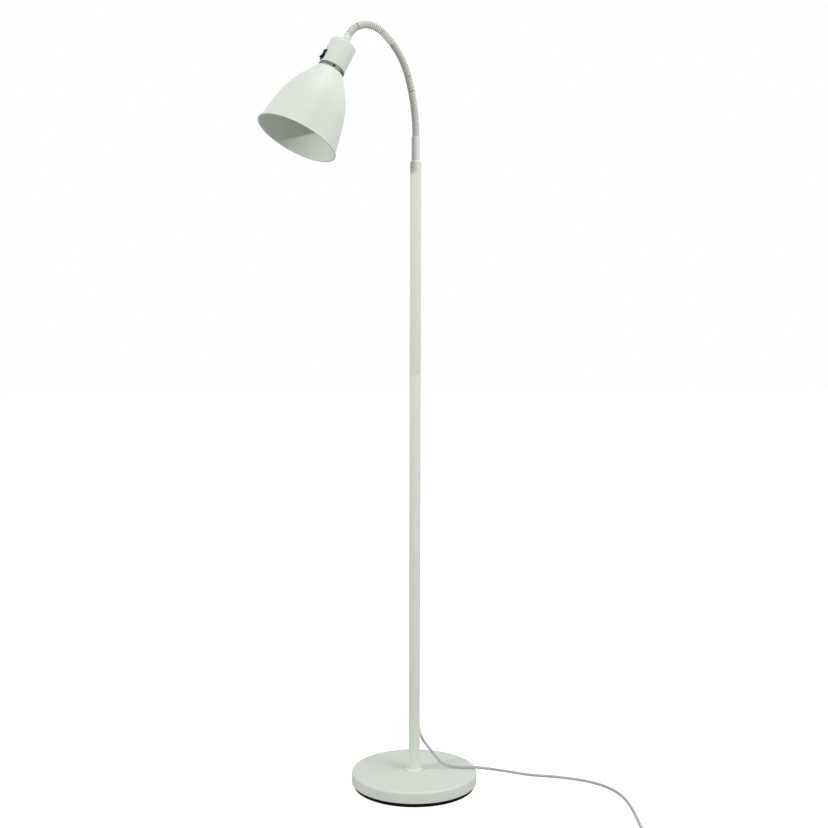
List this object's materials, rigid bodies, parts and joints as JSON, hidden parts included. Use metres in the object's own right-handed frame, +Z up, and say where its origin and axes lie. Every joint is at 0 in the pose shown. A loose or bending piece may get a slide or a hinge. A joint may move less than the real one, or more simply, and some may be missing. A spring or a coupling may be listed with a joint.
{
  "type": "gooseneck reading floor lamp",
  "caption": "Floor-standing reading lamp: round weighted base, slim two-piece pole, bendable wound neck, bell-shaped metal shade with a rocker switch on its housing.",
  "frame": {"origin": "on the floor under the centre of the round base", "axes": "+Z up along the pole; the neck bends in the XZ plane and the head reaches toward -X; the mains lead leaves the pole near +X"},
  "size_m": [0.6626, 0.7765, 1.5035],
  "materials": {
    "cream_paint": "satin off-white enamel",
    "neck_paint": "satin off-white enamel on wound steel",
    "chrome": "dark bright plating",
    "zinc_steel": "bright zinc plated",
    "cast_iron": "raw casting",
    "black_rubber": "matt",
    "black_plastic": "semi gloss",
    "holder_plastic": "dark moulded",
    "brass": "bright",
    "opal_glass": "opal",
    "lead_sheath": "soft grey PVC",
    "cream_plastic": "moulded, in the paint's colour"
  },
  "bodies": {
    "stand": {"foot_pad": "black_rubber", "base_cover": "cream_paint", "base_weight": "cast_iron", "base_washer": "zinc_steel", "base_nut": "zinc_steel", "pole_collar": "cream_paint", "foot_stud": "zinc_steel", "lower_tube": "cream_paint", "tube_coupler": "cream_paint", "upper_tube": "cream_paint", "top_insert": "cream_paint", "lower_ferrule": "cream_paint", "cord_grommet": "cream_plastic", "cord_lead": "lead_sheath", "cord_coil": "lead_sheath", "plug_body": "lead_sheath", "plug_pins": "zinc_steel", "neck_root": "neck_paint"},
    "neck_1": {"neck_link_1": "neck_paint"},
    "neck_2": {"neck_link_2": "neck_paint"},
    "neck_3": {"neck_link_3": "neck_paint"},
    "neck_4": {"neck_link_4": "neck_paint"},
    "neck_5": {"neck_link_5": "neck_paint"},
    "neck_6": {"neck_link_6": "neck_paint"},
    "neck_7": {"neck_link_7": "neck_paint"},
    "neck_8": {"neck_link_8": "neck_paint"},
    "head": {"neck_tip": "neck_paint", "upper_ferrule": "cream_paint", "head_nipple": "zinc_steel", "head_locknut": "zinc_steel", "head_housing": "cream_paint", "lampholder": "holder_plastic", "screw_shell": "brass", "shade_ring": "holder_plastic", "shade": "cream_paint", "trim_ring": "chrome", "switch_body": "black_plastic", "switch_screw": "zinc_steel", "bulb_cap": "brass", "bulb_glass": "opal_glass"},
    "rocker": {"switch_rocker": "black_plastic"}
  },
  "joints": [
    {"name": "neck_bend_low", "type": "hinge", "parent": "stand", "child": "neck_1", "pos_m": [-0.00104, 0, 1.32147], "axis": [0, -1, 0], "range_deg": [-20, 8]},
    {"name": "neck_sway", "type": "hinge", "parent": "neck_1", "child": "neck_2", "pos_m": [-0.00414, 0, 1.3501], "axis": [0.9897, 0, 0.1435], "range_deg": [-18, 18]},
    {"name": "neck_bend_low_2", "type": "hinge", "parent": "neck_2", "child": "neck_3", "pos_m": [-0.00929, 0, 1.37842], "axis": [0, -1, 0], "range_deg": [-20, 8]},
    {"name": "neck_bend_low_3", "type": "hinge", "parent": "neck_3", "child": "neck_4", "pos_m": [-0.01647, 0, 1.40631], "axis": [0, -1, 0], "range_deg": [-20, 8]},
    {"name": "neck_sway_2", "type": "hinge", "parent": "neck_4", "child": "neck_5", "pos_m": [-0.02925, 0, 1.43703], "axis": [0.8774, 0, 0.4797], "range_deg": [-18, 18]},
    {"name": "neck_bend_high", "type": "hinge", "parent": "neck_5", "child": "neck_6", "pos_m": [-0.04822, 0, 1.46437], "axis": [0, -1, 0], "range_deg": [-20, 5]},
    {"name": "neck_bend_high_2", "type": "hinge", "parent": "neck_6", "child": "neck_7", "pos_m": [-0.07252, 0, 1.4871], "axis": [0, -1, 0], "range_deg": [-20, 5]},
    {"name": "neck_sway_3", "type": "hinge", "parent": "neck_7", "child": "neck_8", "pos_m": [-0.09828, 0, 1.49666], "axis": [0.0651, 0, 0.9979], "range_deg": [-18, 18]},
    {"name": "neck_bend_high_3", "type": "hinge", "parent": "neck_8", "child": "head", "pos_m": [-0.12507, 0, 1.49053], "axis": [0, -1, 0], "range_deg": [-20, 5]},
    {"name": "switch_rocker_tilt", "type": "hinge", "parent": "head", "child": "rocker", "pos_m": [-0.19265, 0, 1.42809], "axis": [0, 1, 0], "range_deg": [-17, 0]}
  ],
  "couplings": [
    {"joint": "neck_bend_low_2", "follows": "neck_bend_low", "ratio": 1},
    {"joint": "neck_bend_low_3", "follows": "neck_bend_low", "ratio": 1},
    {"joint": "neck_bend_high_2", "follows": "neck_bend_high", "ratio": 1},
    {"joint": "neck_bend_high_3", "follows": "neck_bend_high", "ratio": 1},
    {"joint": "neck_sway_2", "follows": "neck_sway", "ratio": 1},
    {"joint": "neck_sway_3", "follows": "neck_sway", "ratio": 1}
  ]
}
